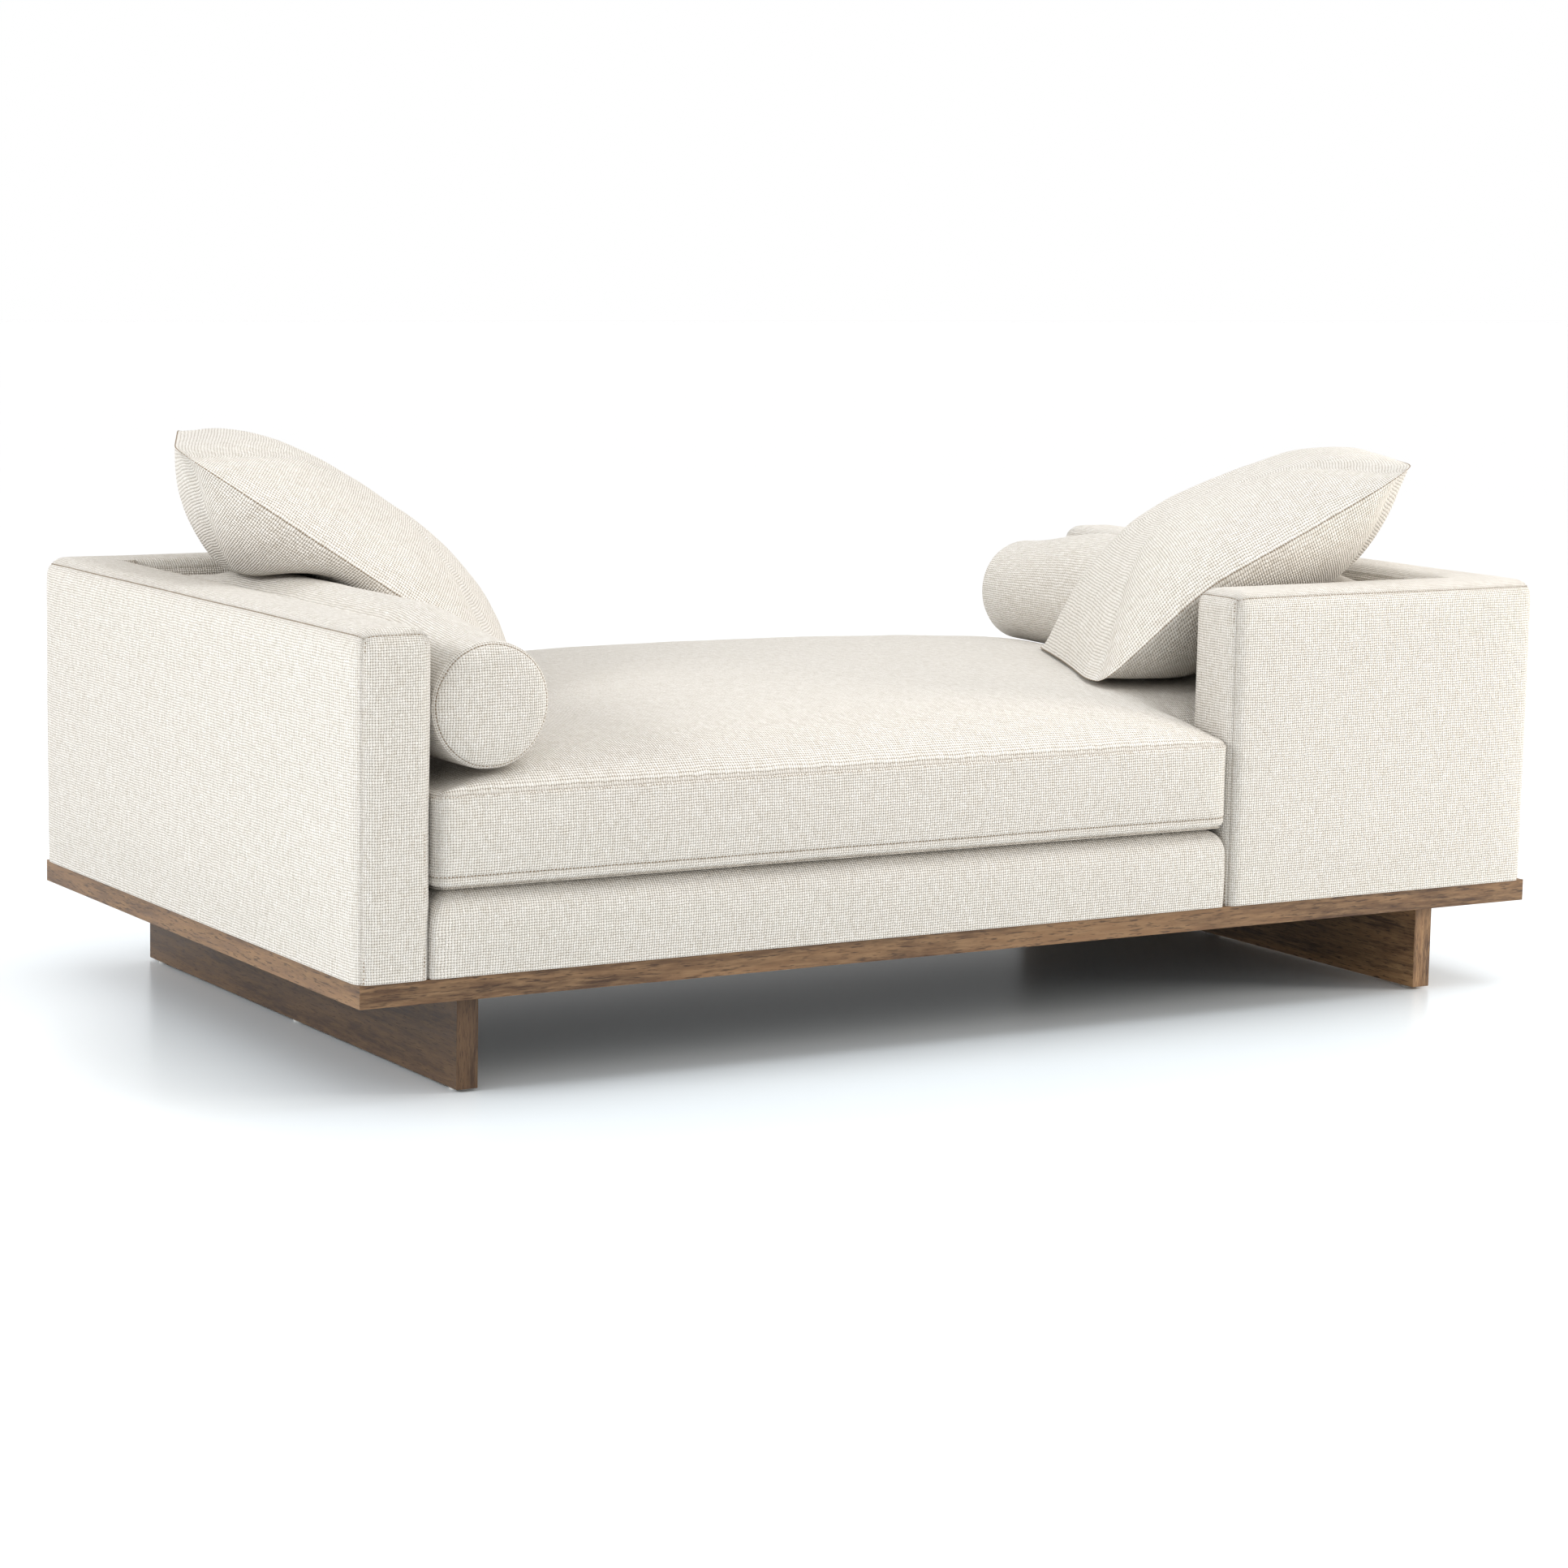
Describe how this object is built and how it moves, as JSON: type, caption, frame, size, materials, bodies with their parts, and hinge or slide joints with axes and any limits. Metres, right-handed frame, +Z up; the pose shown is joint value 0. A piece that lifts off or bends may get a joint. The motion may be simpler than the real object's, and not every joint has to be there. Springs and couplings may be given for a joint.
{
  "type": "daybed",
  "caption": "Low double-ended daybed: crowned mattress on a wood plinth with panel legs, an L-shaped padded wall at each end, loose bolsters and leaning throw pillows.",
  "frame": {"origin": "on the floor under the middle of the daybed", "axes": "+X along the length towards the end whose return runs along the front, +Y from front to back, +Z up"},
  "size_m": [2.12, 1.197, 0.8727],
  "materials": {
    "woven_cover": "matte",
    "stained_wood": "satin",
    "frame_timber": "matte",
    "foam": "matte",
    "pillow_fill": "matte",
    "elastic_webbing": "matte",
    "dust_cloth": "matte",
    "steel": "satin",
    "glide_plastic": "matte"
  },
  "bodies": {
    "base": {"deck_corner_blocks": "frame_timber", "deck_cover": "woven_cover", "deck_cross_rails": "frame_timber", "deck_jog_rail_back": "frame_timber", "deck_jog_rail_front": "frame_timber", "deck_pad": "foam", "deck_rail_back": "frame_timber", "deck_rail_front": "frame_timber", "deck_rail_left": "frame_timber", "deck_rail_right": "frame_timber", "deck_step_rail_left": "frame_timber", "deck_step_rail_right": "frame_timber", "dust_cover": "dust_cloth", "floor_glides": "glide_plastic", "left_end_bottom_rail": "frame_timber", "left_end_padding": "foam", "left_end_posts": "frame_timber", "left_end_top_rail": "frame_timber", "left_return_bottom_rail": "frame_timber", "left_return_padding": "foam", "left_return_posts": "frame_timber", "left_return_top_rail": "frame_timber", "left_wall_bolts": "steel", "left_wall_cover": "woven_cover", "leg_batten_left": "frame_timber", "leg_batten_right": "frame_timber", "leg_panel_left": "stained_wood", "leg_panel_right": "stained_wood", "leg_screws": "steel", "plinth_corner_blocks": "frame_timber", "plinth_rail_back": "stained_wood", "plinth_rail_front": "stained_wood", "plinth_rail_left": "stained_wood", "plinth_rail_right": "stained_wood", "right_end_bottom_rail": "frame_timber", "right_end_padding": "foam", "right_end_posts": "frame_timber", "right_end_top_rail": "frame_timber", "right_return_bottom_rail": "frame_timber", "right_return_padding": "foam", "right_return_posts": "frame_timber", "right_return_top_rail": "frame_timber", "right_wall_bolts": "steel", "right_wall_cover": "woven_cover", "webbing_across": "elastic_webbing", "webbing_along": "elastic_webbing"},
    "mattress": {"mattress_core": "foam", "mattress_wrap": "foam", "mattress_cover": "woven_cover"},
    "left_bolster": {"left_bolster_core": "foam", "left_bolster_cover": "woven_cover"},
    "right_bolster": {"right_bolster_core": "foam", "right_bolster_cover": "woven_cover"},
    "left_pillow": {"left_pillow_fill": "pillow_fill", "left_pillow_cover": "woven_cover"},
    "right_pillow": {"right_pillow_fill": "pillow_fill", "right_pillow_cover": "woven_cover"}
  },
  "joints": [
    {"name": "mattress_lift", "type": "slide", "parent": "base", "child": "mattress", "axis": [0, 0, 1], "range_m": [0, 0.4]},
    {"name": "left_bolster_lift", "type": "slide", "parent": "mattress", "child": "left_bolster", "axis": [0, 0, 1], "range_m": [0, 0.3]},
    {"name": "right_bolster_lift", "type": "slide", "parent": "mattress", "child": "right_bolster", "axis": [0, 0, 1], "range_m": [0, 0.3]},
    {"name": "left_pillow_lift", "type": "slide", "parent": "left_bolster", "child": "left_pillow", "axis": [0, 0, 1], "range_m": [0, 0.3]},
    {"name": "right_pillow_lift", "type": "slide", "parent": "right_bolster", "child": "right_pillow", "axis": [0, 0, 1], "range_m": [0, 0.3]}
  ]
}
